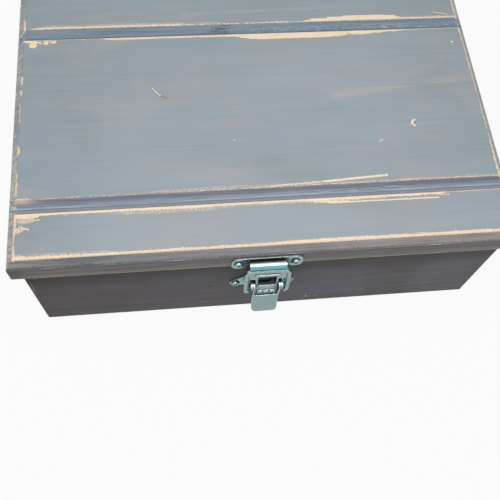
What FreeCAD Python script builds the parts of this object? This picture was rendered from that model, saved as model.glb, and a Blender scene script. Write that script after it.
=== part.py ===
import FreeCAD, Part
import math
import os
from FreeCAD import Vector

# A low wooden tool box with a three-board lid, two butt hinges and one draw latch.
# Millimetres. X to the right, Y to the back, Z up. The origin is the centre of the case's underside.

# Case
case_length = 418.0
case_depth = 282.0
case_height = 115.0
wall = 18.0
bottom_thick = 20.0
corner_round = 1.6
seam_ease = 0.5

# Lid
lid_thick = 25.0
front_overhang = 6.0
side_overhang = 6.0
front_board = 53.5
rear_board = 53.5
board_chamfer = 7.0
board_arris = 0.8
batten_inset = 79.0
batten_width = 42.0
batten_thick = 16.0
batten_clear = 10.0
batten_chamfer = 3.0

# Nails and wood screws
nail_radius = 1.2
nail_head = 1.9
nail_head_thick = 1.0
nail_length = 48.0
nails_per_corner = 3
nail_margin = 16.0
wood_screw_radius = 2.0
wood_screw_head = 4.0
batten_screw_bite = 15.0
bottom_screw_bite = 24.0
bottom_screw_margin = 40.0
screws_per_long_side = 4
screws_per_end = 2

# Butt hinges on the back
hinge_inset = 79.0
hinge_length = 50.0
hinge_leaf = 17.0
hinge_sheet = 1.5
leaf_corner = 2.0
barrel_radius = 3.2
barrel_clear = 0.3
leaf_notch = 0.6
knuckles = 5
knuckle_gap = 0.3
hinge_pin_radius = 1.5
hinge_pin_head = 2.4
hinge_pin_head_thick = 0.8
hinge_screw_spread = 30.0
hinge_screw_radius = 1.5
hinge_screw_head = 3.0
hinge_screw_bite = 13.0

# Cross recesses
recess_width = 0.9
recess_share = 1.25
recess_depth = 1.2
point_length = 3.0

# Draw latch: u runs to the right from its middle, q out from the case front, h up from a line under the lid
latch_x = -3.6
latch_drop = 4.0
sheet = 1.5
latch_screw_pitch = 48.5
latch_screw_radius = 1.5
latch_screw_head = 3.6
latch_screw_rise = 2.2
latch_screw_bite = 13.0
pin_clear = 0.05

strike_length = 60.5
strike_edge = 0.5
strike_top = 19.0
strike_ear_width = 12.5
strike_ear_corner = 5.8
strike_neck = 9.5
neck_corner = 1.0
lip_width = 29.0
gutter_bend = 2.1
gutter_height = 11.3
lip_top = 15.0

hook_bend = 2.0
hook_slack = 1.3
hook_grip = 2.0
hook_set = 0.4
hook_width = 31.0

plate_width = 39.6
plate_top = 12.2
plate_bottom = -25.0
plate_corner = 7.0
plate_foot_corner = 4.0
rim_width = 3.2
rim_rise = 0.9
window_width = 16.0
window_top = 1.5
window_bottom = -14.0
window_corner = 1.0
slot_side = 0.4
slot_outer = 15.3
slot_top = -2.5
slot_corner = 1.5
roll_width = 16.4
roll_slit = 0.6
roll_slit_depth = 0.7
draw_pin_out = 17.0
draw_pin_height = -25.0
draw_pin_radius = 1.5

rivet_out = 19.0
rivet_height = -13.0
rivet_radius = 1.5
rivet_head = 2.6
rivet_rise = 1.0
boss_radius = 4.2
arm_inner = 10.3
cheek_side = 0.4
heel_out = 13.4
heel_height = -27.5
heel_corner = 3.0
pad_top_out = 21.5
pad_top = -31.0
pad_bottom_out = 27.2
pad_bottom = -56.0
pad_heel_out = 24.4
pad_corner = 5.0
pad_bend = 2.0

ear_height = -47.0
ear_radius = 5.4
base_top = -26.0
base_bottom = -53.5
base_corner = 2.0
base_hole_width = 17.0
base_hole_top = -31.0
base_hole_bottom = -50.0
ear_slope_top = -31.0
cheek_foot_top = -28.0
cheek_foot_bottom = -51.5

# How close two places are to count as one
touch = 0.0001

# Places worked out from the sizes above
lid_length = case_length + 2 * side_overhang
lid_top = case_height + lid_thick
y_front = -case_depth / 2
y_back = case_depth / 2
y_lid = y_front - front_overhang
y_groove_front = y_lid + front_board
y_groove_rear = y_back - rear_board
hinge_y = y_back + barrel_radius + barrel_clear
hinge_x = case_length / 2 - hinge_inset
batten_x = case_length / 2 - batten_inset
latch_z = case_height - latch_drop
strike_face = front_overhang + sheet
lip_in = strike_face + 2 * gutter_bend
lip_out = lip_in + sheet
hook_out = (lip_in + lip_out) / 2 - hook_set
hook_height = lip_top + hook_slack - hook_bend
arm_outer = arm_inner + sheet
cheek_inner = arm_outer + cheek_side
cheek_outer = cheek_inner + sheet
slot_inner = arm_inner - slot_side
roll_bore = draw_pin_radius + pin_clear


def block(x0, x1, y0, y1, z0, z1):
    return Part.makeBox(x1 - x0, y1 - y0, z1 - z0, Vector(x0, y0, z0))


def rod(radius, start, end):
    return Part.makeCylinder(radius, (end - start).Length, start, end - start)


def joined(first, *others):
    return first.multiFuse(list(others)).removeSplitter()


def ease(shape, radius, wanted):
    """Round the straight edges for which wanted(ends) is true."""
    edges = [e for e in shape.Edges if wanted([v.Point for v in e.Vertexes])]
    return shape.makeFillet(radius, edges)


def flatten(shape, size, wanted):
    """Chamfer the straight edges for which wanted(ends) is true."""
    edges = [e for e in shape.Edges if wanted([v.Point for v in e.Vertexes])]
    return shape.makeChamfer(size, edges)


def same(value, other):
    return abs(value - other) < touch


def spread(count, span):
    """Places evenly spread over a span, its two ends included."""
    return [span * (i / (count - 1) - 1 / 2) for i in range(count)]


def at(u, q, h):
    """A point of the latch."""
    return Vector(latch_x + u, y_front - q, latch_z + h)


def on_rivet(u):
    return at(u, rivet_out, rivet_height)


def on_draw_pin(u):
    return at(u, draw_pin_out, draw_pin_height)


def on_hinge(x):
    return Vector(x, hinge_y, case_height)


def ring(corners):
    """A closed wire through (point, radius) corners, each rounded by a tangent arc."""
    runs = []
    edges = []
    for i, (point, radius) in enumerate(corners):
        back = (corners[i - 1][0] - point).normalize()
        ahead = (corners[(i + 1) % len(corners)][0] - point).normalize()
        half = back.getAngle(ahead) / 2
        enter = point + back * (radius / math.tan(half))
        leave = point + ahead * (radius / math.tan(half))
        middle = point + (back + ahead).normalize() * (radius / math.sin(half) - radius)
        runs.append((enter, leave))
        if radius > 0:
            edges.append((Part.Arc(enter, middle, leave).toShape(), i))
    for i, (enter, leave) in enumerate(runs):
        onward = runs[(i + 1) % len(runs)][0]
        if not same((onward - leave).Length, 0):
            edges.append((Part.LineSegment(leave, onward).toShape(), i + 1 / 2))
    edges.sort(key=lambda pair: pair[1])
    return Part.Wire([edge for edge, place in edges])


def across(u0, u1, corners):
    """A latch solid from u0 to u1 with a side outline of (q, h, radius) corners."""
    face = Part.Face(ring([(at(u0, q, h), r) for q, h, r in corners]))
    return face.extrude(Vector(u1 - u0, 0, 0))


def outward(q0, q1, corners):
    """A latch solid from q0 to q1 with a front outline of (u, h, radius) corners."""
    face = Part.Face(ring([(at(u, q0, h), r) for u, h, r in corners]))
    return face.extrude(Vector(0, q0 - q1, 0))


def frontal(q0, q1, half, h0, h1, low_round, high_round):
    """A latch solid with a rounded rectangle as its front outline, centred across."""
    corners = [(-half, h0, low_round), (half, h0, low_round), (half, h1, high_round), (-half, h1, high_round)]
    return outward(q0, q1, corners)


def screw(seat, inward, radius, head, sunk, rise, bite):
    """A wood screw: its solid without the recess, for cutting its hole, and the finished one.

    The head's widest circle is at seat. A sunk head tapers inward over the depth sunk, a pan head
    stands rise out of the surface."""
    shank = Part.makeCylinder(radius, sunk + bite - point_length, seat, inward)
    tip = Part.makeCone(radius, 0, point_length, seat + inward * (sunk + bite - point_length), inward)
    if sunk > 0:
        cap = Part.makeCone(head, radius, sunk, seat, inward)
    else:
        cap = Part.makeCylinder(head, rise, seat - inward * rise, inward)
        rim = [e for e in cap.Edges if same((e.CenterOfMass - seat + inward * rise).Length, 0)]
        cap = cap.makeFillet(rise * 2 / 3, rim)
    body = joined(shank, tip, cap)
    across_1 = inward.cross(Vector(1, 1, 1)).normalize()
    across_2 = inward.cross(across_1)
    top = seat - inward * rise
    cuts = []
    for long, wide in ((across_1, across_2), (across_2, across_1)):
        a = long * (radius * recess_share)
        b = wide * (recess_width / 2)
        face = Part.Face(Part.makePolygon([top + a + b, top + a - b, top - a - b, top - a + b, top + a + b]))
        cuts.append(face.extrude(inward * recess_depth))
    return body, body.cut(joined(*cuts))


def finished(pairs):
    return Part.makeCompound([solid for body, solid in pairs])


def bodies(pairs):
    return [body for body, solid in pairs]


def nail(seat, inward):
    head = Part.makeCone(nail_head, nail_radius, nail_head_thick, seat, inward)
    shank = Part.makeCylinder(nail_radius, nail_length - point_length, seat, inward)
    tip = Part.makeCone(nail_radius, 0, point_length, seat + inward * (nail_length - point_length), inward)
    return joined(head, shank, tip)


# Lid boards: every top edge is chamfered, so neighbours meet in a V groove
def lid_board(y0, y1):
    board = block(-lid_length / 2, lid_length / 2, y0, y1, case_height, lid_top)
    board = flatten(board, board_chamfer, lambda ends: all(same(p.z, lid_top) for p in ends))
    shoulder = lid_top - board_chamfer
    worn = lambda ends: all(p.z > shoulder - board_arris for p in ends) and same(ends[0].z, ends[-1].z)
    return ease(board, board_arris, worn)


lid_boards = {
    "lid_board_front": lid_board(y_lid, y_groove_front),
    "lid_board_middle": lid_board(y_groove_front, y_groove_rear),
    "lid_board_rear": lid_board(y_groove_rear, y_back),
}

# Battens under the lid, and the screws that hold them to each board
batten_low = y_front + wall + batten_clear
batten_high = y_back - wall - batten_clear


def batten(x):
    half = batten_width / 2
    low = case_height - batten_thick
    bar = block(x - half, x + half, batten_low, batten_high, low, case_height)
    return flatten(bar, batten_chamfer, lambda ends: all(same(p.z, low) for p in ends))


battens = {
    "lid_batten_left": batten(-batten_x),
    "lid_batten_right": batten(batten_x),
}
middle_third = (y_groove_rear - y_groove_front) / 3
batten_rows = [
    (batten_low + y_groove_front) / 2,
    y_groove_front + middle_third / 2,
    y_groove_front + middle_third * 3 / 2,
    y_groove_rear - middle_third / 2,
    (batten_high + y_groove_rear) / 2,
]
batten_screws = [
    screw(
        Vector(x, y, case_height - batten_thick),
        Vector(0, 0, 1),
        wood_screw_radius,
        wood_screw_head,
        wood_screw_head - wood_screw_radius,
        0,
        batten_thick + batten_screw_bite - (wood_screw_head - wood_screw_radius),
    )
    for x in (-batten_x, batten_x)
    for y in batten_rows
]

# Case: front and back run the full length, the ends stand between them, the bottom closes it from below
half_length = case_length / 2
bottom_board = block(-half_length, half_length, y_front, y_back, 0, bottom_thick)
bottom_board = ease(bottom_board, corner_round, lambda ends: not same(ends[0].z, ends[-1].z))
bottom_board = flatten(bottom_board, seam_ease, lambda ends: all(same(p.z, bottom_thick) for p in ends))


def long_panel(y0, y1, y_face):
    panel = block(-half_length, half_length, y0, y1, bottom_thick, case_height)
    upright = lambda ends: not same(ends[0].z, ends[-1].z) and same(ends[0].y, y_face)
    panel = ease(panel, corner_round, upright)
    seam = lambda ends: all(same(p.z, bottom_thick) and same(p.y, y_face) for p in ends)
    return flatten(panel, seam_ease, seam)


def end_panel(x0, x1, x_face):
    panel = block(x0, x1, y_front + wall, y_back - wall, bottom_thick, case_height)
    seam = lambda ends: all(same(p.z, bottom_thick) and same(p.x, x_face) for p in ends)
    return flatten(panel, seam_ease, seam)


front_panel = long_panel(y_front, y_front + wall, y_front)
back_panel = long_panel(y_back - wall, y_back, y_back)
left_end = end_panel(-half_length, -half_length + wall, -half_length)
right_end = end_panel(half_length - wall, half_length, half_length)

nail_heights = [
    (bottom_thick + case_height) / 2 + z
    for z in spread(nails_per_corner, case_height - bottom_thick - 2 * nail_margin)
]
nails = [
    nail(Vector(side * (half_length - wall / 2), face * case_depth / 2, z), Vector(0, -face, 0))
    for side in (-1, 1)
    for face in (-1, 1)
    for z in nail_heights
]
bottom_places = [
    (x, side * (case_depth - wall) / 2)
    for side in (-1, 1)
    for x in spread(screws_per_long_side, case_length - 2 * bottom_screw_margin)
]
bottom_places += [
    (side * (case_length - wall) / 2, y)
    for side in (-1, 1)
    for y in spread(screws_per_end, case_depth - 2 * (wall + bottom_screw_margin))
]
bottom_screws = [
    screw(
        Vector(x, y, 0),
        Vector(0, 0, 1),
        wood_screw_radius,
        wood_screw_head,
        wood_screw_head - wood_screw_radius,
        0,
        bottom_thick + bottom_screw_bite - (wood_screw_head - wood_screw_radius),
    )
    for x, y in bottom_places
]


# Hinges: two leaves with interlocking knuckles on one pin, laid open on the outside of the back
def hinge_leaf_solid(x, up, own, bore):
    """The leaf that goes up (1) or down (-1) from the pin and carries the knuckles listed in own."""
    pitch = hinge_length / knuckles
    low, high = sorted((case_height, case_height + up * hinge_leaf))
    leaf = block(x - hinge_length / 2, x + hinge_length / 2, y_back, y_back + hinge_sheet, low, high)
    far = case_height + up * hinge_leaf
    tip = lambda ends: all(same(p.z, far) for p in ends) and same(ends[0].x, ends[-1].x)
    leaf = ease(leaf, leaf_corner, tip)
    reach = barrel_radius + leaf_notch
    for i in range(knuckles):
        start = x - hinge_length / 2 + i * pitch
        if i in own:
            left = start + (knuckle_gap / 2 if i > 0 else 0)
            right = start + pitch - (knuckle_gap / 2 if i < knuckles - 1 else 0)
            leaf = joined(leaf, rod(barrel_radius, on_hinge(left), on_hinge(right)))
        else:
            left = start - (knuckle_gap / 2 if i > 0 else 0)
            right = start + pitch + (knuckle_gap / 2 if i < knuckles - 1 else 0)
            low = case_height - reach
            high = case_height + reach
            leaf = leaf.cut(block(left, right, y_back, y_back + hinge_sheet, low, high))
    ends = hinge_length
    return leaf.cut(rod(bore, on_hinge(x - ends), on_hinge(x + ends)))


def hinge_pin(x):
    half = hinge_length / 2
    pin = rod(hinge_pin_radius, on_hinge(x - half), on_hinge(x + half))
    heads = []
    for side in (-1, 1):
        foot = on_hinge(x + side * half)
        cap = rod(hinge_pin_head, foot, foot + Vector(side * hinge_pin_head_thick, 0, 0))
        outer = x + side * (half + hinge_pin_head_thick)
        rim = [e for e in cap.Edges if same(e.CenterOfMass.x, outer) and same(e.BoundBox.XLength, 0)]
        heads.append(cap.makeFillet(hinge_pin_head_thick / 2, rim))
    return joined(pin, *heads)


def hinge_screws(up):
    height = case_height + up * (hinge_leaf + barrel_radius + leaf_notch) / 2
    return [
        screw(
            Vector(side * hinge_x + x, y_back + hinge_sheet, height),
            Vector(0, -1, 0),
            hinge_screw_radius,
            hinge_screw_head,
            hinge_sheet,
            0,
            hinge_screw_bite,
        )
        for side in (-1, 1)
        for x in spread(2, hinge_screw_spread)
    ]


case_knuckles = range(0, knuckles, 2)
lid_knuckles = range(1, knuckles, 2)
case_hinge_screws = hinge_screws(-1)
lid_hinge_screws = hinge_screws(1)
hinge_nodes = {}
for name, x in (("left", -hinge_x), ("right", hinge_x)):
    case_leaf = hinge_leaf_solid(x, -1, case_knuckles, hinge_pin_radius)
    lid_leaf = hinge_leaf_solid(x, 1, lid_knuckles, hinge_pin_radius + pin_clear)
    hinge_nodes["hinge_case_leaf_" + name] = case_leaf.cut(bodies(case_hinge_screws))
    hinge_nodes["hinge_lid_leaf_" + name] = lid_leaf.cut(bodies(lid_hinge_screws))
    hinge_nodes["hinge_pin_" + name] = hinge_pin(x)

# Strike on the lid: two ears, a neck and a gutter that opens upward, whose lip the hook grips
ear_u = latch_screw_pitch / 2
ear_inner = strike_length / 2 - strike_ear_width
strike_plate = frontal(front_overhang, strike_face, ear_inner + neck_corner, strike_neck, strike_top, 0, 0)
strike_ears = [
    outward(
        front_overhang,
        strike_face,
        [
            (side * strike_length / 2, strike_edge, strike_ear_corner),
            (side * ear_inner, strike_edge, strike_ear_corner),
            (side * ear_inner, strike_top, 0),
            (side * strike_length / 2, strike_top, strike_ear_corner),
        ],
    )
    for side in (-1, 1)
]
gutter_middle = strike_face + gutter_bend
gutter_low = gutter_height - gutter_bend
gutter_side = -lip_width / 2
gutter_points = [
    at(gutter_side, strike_face, strike_top),
    at(gutter_side, strike_face, gutter_height),
    at(gutter_side, gutter_middle, gutter_low),
    at(gutter_side, lip_in, gutter_height),
    at(gutter_side, lip_in, lip_top),
]
gutter_path = Part.Wire(
    [
        Part.LineSegment(gutter_points[0], gutter_points[1]).toShape(),
        Part.Arc(*gutter_points[1:4]).toShape(),
        Part.LineSegment(gutter_points[3], gutter_points[4]).toShape(),
    ]
)


def strip(wire, thick, width):
    """A bent sheet along a wire that lies across X. A negative thickness goes to the wire's other side."""
    return wire.makeOffset2D(thick, 0, True, True).extrude(Vector(width, 0, 0))


gutter = strip(gutter_path, -sheet, lip_width)
strike_plate = joined(strike_plate, gutter, *strike_ears)


def latch_screws(q, h):
    return [
        screw(
            at(side * ear_u, q, h),
            Vector(0, 1, 0),
            latch_screw_radius,
            latch_screw_head,
            0,
            latch_screw_rise,
            sheet + latch_screw_bite,
        )
        for side in (-1, 1)
    ]


strike_screws = latch_screws(strike_face, (strike_edge + strike_top) / 2)
strike_plate = strike_plate.cut(bodies(strike_screws))

# Base on the case: a plate with a hole, two round ears and two cheeks that carry the lever
foot = ear_height - ear_radius
ear_slant = ear_radius * math.sin(math.pi / 4)
base_ears = [
    joined(
        outward(
            0,
            sheet,
            [
                (0, foot, 0),
                (side * ear_u, foot, 0),
                (side * (ear_u + ear_slant), ear_height + ear_slant, 0),
                (side * cheek_outer, ear_slope_top, 0),
                (0, ear_slope_top, 0),
            ],
        ),
        rod(ear_radius, at(side * ear_u, 0, ear_height), at(side * ear_u, sheet, ear_height)),
    )
    for side in (-1, 1)
]
base_plate = frontal(0, sheet, cheek_outer, base_bottom, base_top, base_corner, base_corner)
base_hole = frontal(
    0,
    sheet,
    base_hole_width / 2,
    base_hole_bottom,
    base_hole_top,
    base_corner,
    base_corner,
)


def hull_to_boss(u0, u1, corners):
    """A cheek from u0 to u1: the (q, h) corners given, then straight to both sides of the lever's boss."""
    boss = rod(boss_radius, on_rivet(u0), on_rivet(u1))
    low = tangent_point(corners[0], -1)
    high = tangent_point(corners[-1], 1)
    pin = (rivet_out, rivet_height)
    outline = [(q, h, 0) for q, h in corners + [high, pin, low]]
    return joined(across(u0, u1, outline), boss)


def tangent_point(corner, side):
    """Where a line from a corner touches the boss around the rivets."""
    dq = corner[0] - rivet_out
    dh = corner[1] - rivet_height
    turn = side * math.acos(boss_radius / math.hypot(dq, dh))
    angle = math.atan2(dh, dq) - turn
    return rivet_out + boss_radius * math.cos(angle), rivet_height + boss_radius * math.sin(angle)


cheek_foot = [
    (sheet, cheek_foot_bottom),
    (0, cheek_foot_bottom),
    (0, cheek_foot_top),
    (sheet, cheek_foot_top),
]
cheeks = [
    hull_to_boss(u0, u1, cheek_foot)
    for u0, u1 in ((-cheek_outer, -cheek_inner), (cheek_inner, cheek_outer))
]
latch_base = joined(base_plate, *base_ears, *cheeks)
base_screws = latch_screws(sheet, ear_height)
rivet_bore = rod(rivet_radius, on_rivet(-cheek_outer), on_rivet(cheek_outer))
latch_base = latch_base.cut(bodies(base_screws) + [rivet_bore, base_hole])


def rivet(side):
    """A rivet through one cheek and one arm, with a low head on the outside."""
    shank = rod(rivet_radius, on_rivet(side * arm_inner), on_rivet(side * cheek_outer))
    cap = rod(rivet_head, on_rivet(side * cheek_outer), on_rivet(side * (cheek_outer + rivet_rise)))
    outer = latch_x + side * (cheek_outer + rivet_rise)
    rim = [e for e in cap.Edges if same(e.CenterOfMass.x, outer) and same(e.BoundBox.XLength, 0)]
    return joined(shank, cap.makeFillet(rivet_rise * 2 / 3, rim))


lever_rivets = Part.makeCompound([rivet(-1), rivet(1)])

# Lever: a channel with a finger pad, whose arms turn on the rivets and carry the draw pin
lever_outline = [
    (rivet_out - boss_radius, rivet_height, 0),
    (heel_out, heel_height, heel_corner),
    (pad_heel_out, pad_bottom, 0),
    (pad_bottom_out, pad_bottom, 0),
    (pad_top_out, pad_top, 0),
    (rivet_out + boss_radius, rivet_height, 0),
]
lever_solid = across(-arm_outer, arm_outer, lever_outline)
lever_solid = ease(
    lever_solid,
    pad_bend,
    lambda ends: same(ends[0].x, ends[-1].x)
    and {round(p.z - latch_z) for p in ends} == {round(pad_bottom), round(pad_top)}
    and min(p.y for p in ends) <= y_front - pad_top_out,
)
boss = rod(boss_radius, on_rivet(-arm_outer), on_rivet(arm_outer))
lever_solid = joined(lever_solid, boss)
inner_top = rivet_height + 2 * boss_radius
hollow = across(
    -arm_inner,
    arm_inner,
    [
        (0, inner_top, 0),
        (0, pad_bottom - sheet, 0),
        (pad_bottom_out - sheet, pad_bottom - sheet, 0),
        (pad_bottom_out - sheet, pad_bottom, 0),
        (pad_top_out - sheet, pad_top, 0),
        (pad_bottom_out, pad_top, 0),
        (pad_bottom_out, inner_top, 0),
    ],
)
pad_shape = frontal(0, 2 * pad_bottom_out, arm_outer, pad_bottom, inner_top, pad_corner, 0)
draw_bore = rod(roll_bore, on_draw_pin(-arm_outer), on_draw_pin(arm_outer))
lever_turn = rod(
    rivet_radius + pin_clear,
    on_rivet(-arm_outer),
    on_rivet(arm_outer),
)
latch_lever = lever_solid.cut([hollow, draw_bore, lever_turn]).common(pad_shape)

draw_pin_half = arm_outer + cheek_side / 4
draw_pin = rod(
    draw_pin_radius,
    on_draw_pin(-draw_pin_half),
    on_draw_pin(draw_pin_half),
)

# Draw plate: one sheet that hooks over the lip, runs down as a rimmed plate and rolls round the draw pin
run_q = draw_pin_out - hook_out
run_h = draw_pin_height - hook_height
lean = math.atan2(run_h, run_q) + math.acos((hook_bend - roll_bore) / math.hypot(run_q, run_h))
normal_q = math.cos(lean)
normal_h = math.sin(lean)
side_u = -plate_width / 2
leg_foot = at(side_u, hook_out - hook_bend, lip_top - hook_grip)
leg_top = at(side_u, hook_out - hook_bend, hook_height)
hook_top = at(side_u, hook_out, hook_height + hook_bend)
hook_end = at(side_u, hook_out + hook_bend * normal_q, hook_height + hook_bend * normal_h)
roll_start = at(side_u, draw_pin_out + roll_bore * normal_q, draw_pin_height + roll_bore * normal_h)
draw_path = Part.Wire(
    [
        Part.LineSegment(leg_foot, leg_top).toShape(),
        Part.Arc(leg_top, hook_top, hook_end).toShape(),
        Part.LineSegment(hook_end, roll_start).toShape(),
    ]
)
deep = 2 * pad_bottom_out
half_plate = plate_width / 2
plate_outline = frontal(0, deep, half_plate, plate_bottom, plate_top, plate_foot_corner, plate_corner)
hook_outline = frontal(0, deep, hook_width / 2, 0, lid_thick, 0, 0)
tail_outline = frontal(0, deep, roll_width / 2, draw_pin_height - boss_radius, plate_bottom + sheet, 0, 0)
window = frontal(0, deep, window_width / 2, window_bottom, window_top, window_corner, window_corner)
slots = [
    outward(
        0,
        deep,
        [
            (side * slot_inner, plate_bottom - sheet, 0),
            (side * slot_outer, plate_bottom - sheet, 0),
            (side * slot_outer, slot_top, slot_corner),
            (side * slot_inner, slot_top, slot_corner),
        ],
    )
    for side in (-1, 1)
]
sheet_solid = strip(draw_path, sheet, plate_width).common(joined(plate_outline, hook_outline, tail_outline))
rim_field = frontal(
    0,
    deep,
    half_plate - rim_width,
    plate_bottom + rim_width,
    plate_top - rim_width,
    plate_foot_corner - rim_width / 2,
    plate_corner - rim_width,
)
tongue_field = frontal(0, deep, slot_outer, plate_bottom - sheet, plate_bottom + 2 * rim_width, 0, 0)
rim = strip(draw_path, sheet + rim_rise, plate_width).common(plate_outline.cut([rim_field, tongue_field]))
roll = rod(
    roll_bore + sheet,
    on_draw_pin(-roll_width / 2),
    on_draw_pin(roll_width / 2),
)
draw_plate = joined(sheet_solid, rim, roll)
roll_hole = rod(roll_bore, on_draw_pin(-half_plate), on_draw_pin(half_plate))
slits = []
for u in spread(2, roll_width / 3):
    left = on_draw_pin(u - roll_slit / 2)
    right = on_draw_pin(u + roll_slit / 2)
    slits.append(rod(deep, left, right).cut(rod(roll_bore + sheet - roll_slit_depth, left, right)))
roll_outer = roll_bore + sheet
roll_low = draw_pin_height - roll_outer
roll_high = draw_pin_height + roll_outer
slit_field = frontal(0, deep, roll_width / 2, roll_low, roll_high, 0, 0)
draw_plate = draw_plate.cut(slots + [window, roll_hole] + [slit.common(slit_field) for slit in slits])

# Holes for the fasteners in the wood
front_panel = front_panel.cut(nails + bodies(bottom_screws) + bodies(base_screws))
back_panel = back_panel.cut(nails + bodies(bottom_screws) + bodies(case_hinge_screws))
left_end = left_end.cut(nails + bodies(bottom_screws))
right_end = right_end.cut(nails + bodies(bottom_screws))
bottom_board = bottom_board.cut(bodies(bottom_screws))
lid_cutters = bodies(batten_screws) + bodies(lid_hinge_screws) + bodies(strike_screws)

nodes = {
    "front_panel": front_panel,
    "back_panel": back_panel,
    "left_end": left_end,
    "right_end": right_end,
    "bottom_board": bottom_board,
    "case_nails": Part.makeCompound(nails),
    "bottom_screws": finished(bottom_screws),
    "batten_screws": finished(batten_screws),
    "hinge_case_screws": finished(case_hinge_screws),
    "hinge_lid_screws": finished(lid_hinge_screws),
    "strike_plate": strike_plate,
    "strike_screws": finished(strike_screws),
    "latch_base": latch_base,
    "latch_base_screws": finished(base_screws),
    "latch_lever": latch_lever,
    "lever_rivets": lever_rivets,
    "draw_plate": draw_plate,
    "draw_pin": draw_pin,
}
nodes.update(hinge_nodes)
for name, board in lid_boards.items():
    nodes[name] = board.cut(lid_cutters)
for name, bar in battens.items():
    nodes[name] = bar.cut(bodies(batten_screws))

os.makedirs("parts", exist_ok=True)
for name, shape in nodes.items():
    print(name, shape.isValid(), len(shape.Solids), round(shape.Volume, 1))
    shape.exportStep("parts/" + name + ".step")
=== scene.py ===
import math

import bmesh
import bpy
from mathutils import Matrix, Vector
from mathutils.bvhtree import BVHTree


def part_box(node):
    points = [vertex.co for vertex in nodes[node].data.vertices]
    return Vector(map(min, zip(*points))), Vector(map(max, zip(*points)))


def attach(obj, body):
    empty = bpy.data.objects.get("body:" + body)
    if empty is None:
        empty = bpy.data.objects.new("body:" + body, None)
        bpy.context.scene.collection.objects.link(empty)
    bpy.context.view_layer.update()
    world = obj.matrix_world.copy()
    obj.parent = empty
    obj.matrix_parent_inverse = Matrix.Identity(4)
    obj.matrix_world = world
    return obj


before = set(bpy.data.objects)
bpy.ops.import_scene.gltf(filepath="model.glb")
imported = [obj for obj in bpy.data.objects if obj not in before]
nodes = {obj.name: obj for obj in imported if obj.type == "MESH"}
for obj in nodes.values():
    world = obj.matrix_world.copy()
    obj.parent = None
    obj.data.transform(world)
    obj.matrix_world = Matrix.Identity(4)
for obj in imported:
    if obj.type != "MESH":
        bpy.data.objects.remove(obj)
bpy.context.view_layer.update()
scene = bpy.context.scene

MM = 0.001
MM_PER_M = 1000.0
ALONG_X, ALONG_Y, ALONG_Z = range(3)
NOISE_MIDDLE = 0.5
TINY = 1e-12

# Colour sockets of a mix node
MIX_A = 6
MIX_B = 7
MIX_OUT = 2


def srgb(red, green, blue):
    """A colour written as 0 to 255 in sRGB, as linear RGBA."""
    out = []
    for level in (red, green, blue):
        c = level / 255
        out.append(c / 12.92 if c <= 0.04045 else ((c + 0.055) / 1.055) ** 2.4)
    return tuple(out) + (1.0,)


# Colours
PAINT_BLUE = srgb(151, 163, 172)
PAINT_LIGHT = srgb(167, 174, 182)
PAINT_GREEN = srgb(147, 159, 163)
PAINT_ROSE = srgb(168, 166, 168)
PAINT_SHADE = srgb(128, 138, 147)
BEVEL_SLATE = srgb(110, 115, 120)
BEVEL_PURPLE = srgb(138, 137, 143)
BEVEL_PINK = srgb(161, 152, 152)
WALL_PURPLE = srgb(122, 124, 137)
WALL_PALE = srgb(150, 160, 173)
WALL_BLUE = srgb(125, 143, 156)
WALL_DEEP = srgb(92, 110, 126)
FLECK = srgb(196, 208, 220)
LEDGE = srgb(160, 169, 180)
LEDGE_ROSE = srgb(150, 128, 124)
END_PALE = srgb(212, 209, 201)
END_DARK = srgb(86, 88, 92)
FACE_TAUPE = srgb(116, 111, 109)
FACE_PALE = srgb(160, 151, 141)
FACE_DARK = srgb(66, 62, 61)
CASE_GREY = srgb(106, 103, 107)
CASE_BROWN = srgb(95, 87, 85)
CASE_COOL = srgb(113, 112, 120)
CREAM = srgb(253, 232, 204)
CREAM_DEEP = srgb(240, 208, 168)
CREAM_ROSE = srgb(224, 196, 186)
STAIN = srgb(140, 120, 110)
JOINT = srgb(118, 112, 118)
STAIN_PALE = srgb(200, 184, 160)
THIN_PAINT = srgb(194, 184, 174)
PINE_EARLY = srgb(226, 190, 140)
PINE_LATE = srgb(188, 136, 82)
ZINC = srgb(146, 161, 159)
ZINC_TEAL = srgb(124, 156, 160)
ZINC_CYAN = srgb(104, 172, 182)
ZINC_WARM = srgb(162, 164, 154)
# Painted highlight and painted shade of the zinc
ZINC_PAINTED_HIGHLIGHT = srgb(226, 238, 238)
ZINC_PAINTED_SHADE = srgb(62, 78, 82)
# Grime, and painted shade where it darkens gaps, the latch's pit, the overhang and the lid's and case's left
# end
GRIME_AND_SHADE = srgb(40, 41, 42)
WHITE = (1.0, 1.0, 1.0, 1.0)
FLOOR_GREY = (0.4, 0.4, 0.4, 1.0)

# Edges of the lid and the case in mm
TOP = 140.0
BEVEL = 7.0
BEVEL_FOOT = TOP - BEVEL
LID_UNDER = 115.0
FRONT_ARRIS = -140.0
FRONT_FACE = -147.0
GROOVE_A = (-100.5, -93.5, -86.5)
GROOVE_B = (80.5, 87.5, 94.5)
REAR_ARRIS = 134.0
REAR_FACE = 141.0
END_ARRIS = 208.0
END_FACE = 215.0
CASE_ENDS = (-209.0, 209.0)
CASE_SIDES = (-141.0, 141.0)

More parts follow.
